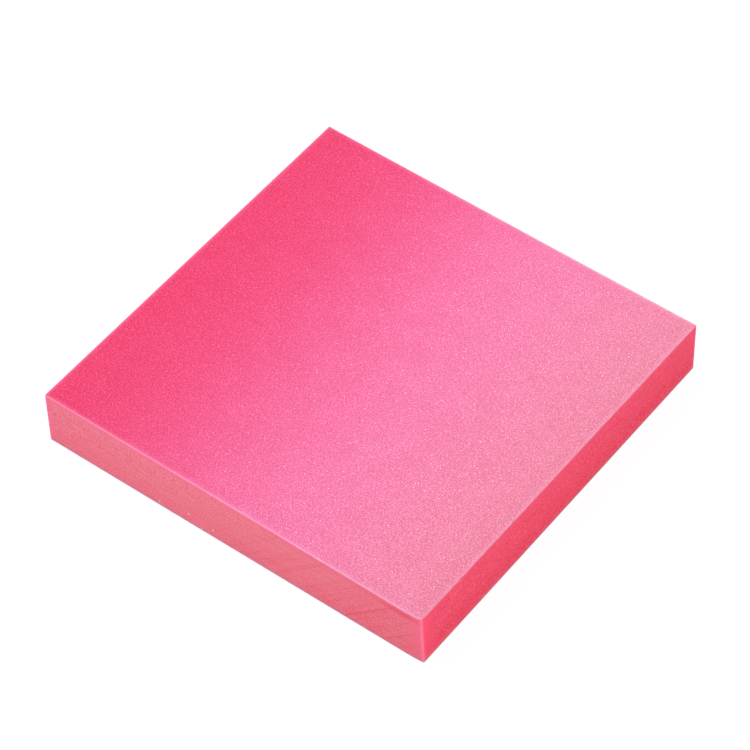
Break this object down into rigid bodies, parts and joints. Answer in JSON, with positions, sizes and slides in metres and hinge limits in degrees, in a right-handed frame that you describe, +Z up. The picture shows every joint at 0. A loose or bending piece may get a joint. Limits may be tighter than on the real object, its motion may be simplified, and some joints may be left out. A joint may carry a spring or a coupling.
{
  "type": "sticky note pad",
  "caption": "Square pad of plain pink sticky notes, bound by low-tack adhesive along one edge, on a thin backing sheet.",
  "frame": {"origin": "centre of the underside, where the pad lies on the desk", "axes": "+Z up through the stack, +Y towards the edge where the notes are stuck together, +X to the right when that edge is at the back"},
  "size_m": [0.076, 0.076, 0.0105],
  "materials": {
    "note_paper": "uncoated fluorescent pink note paper, guillotined edges",
    "backing_paper": "smooth release-coated off-white paper"
  },
  "bodies": {
    "root": {"note_block": "note_paper", "backing_sheet": "backing_paper"}
  },
  "joints": []
}
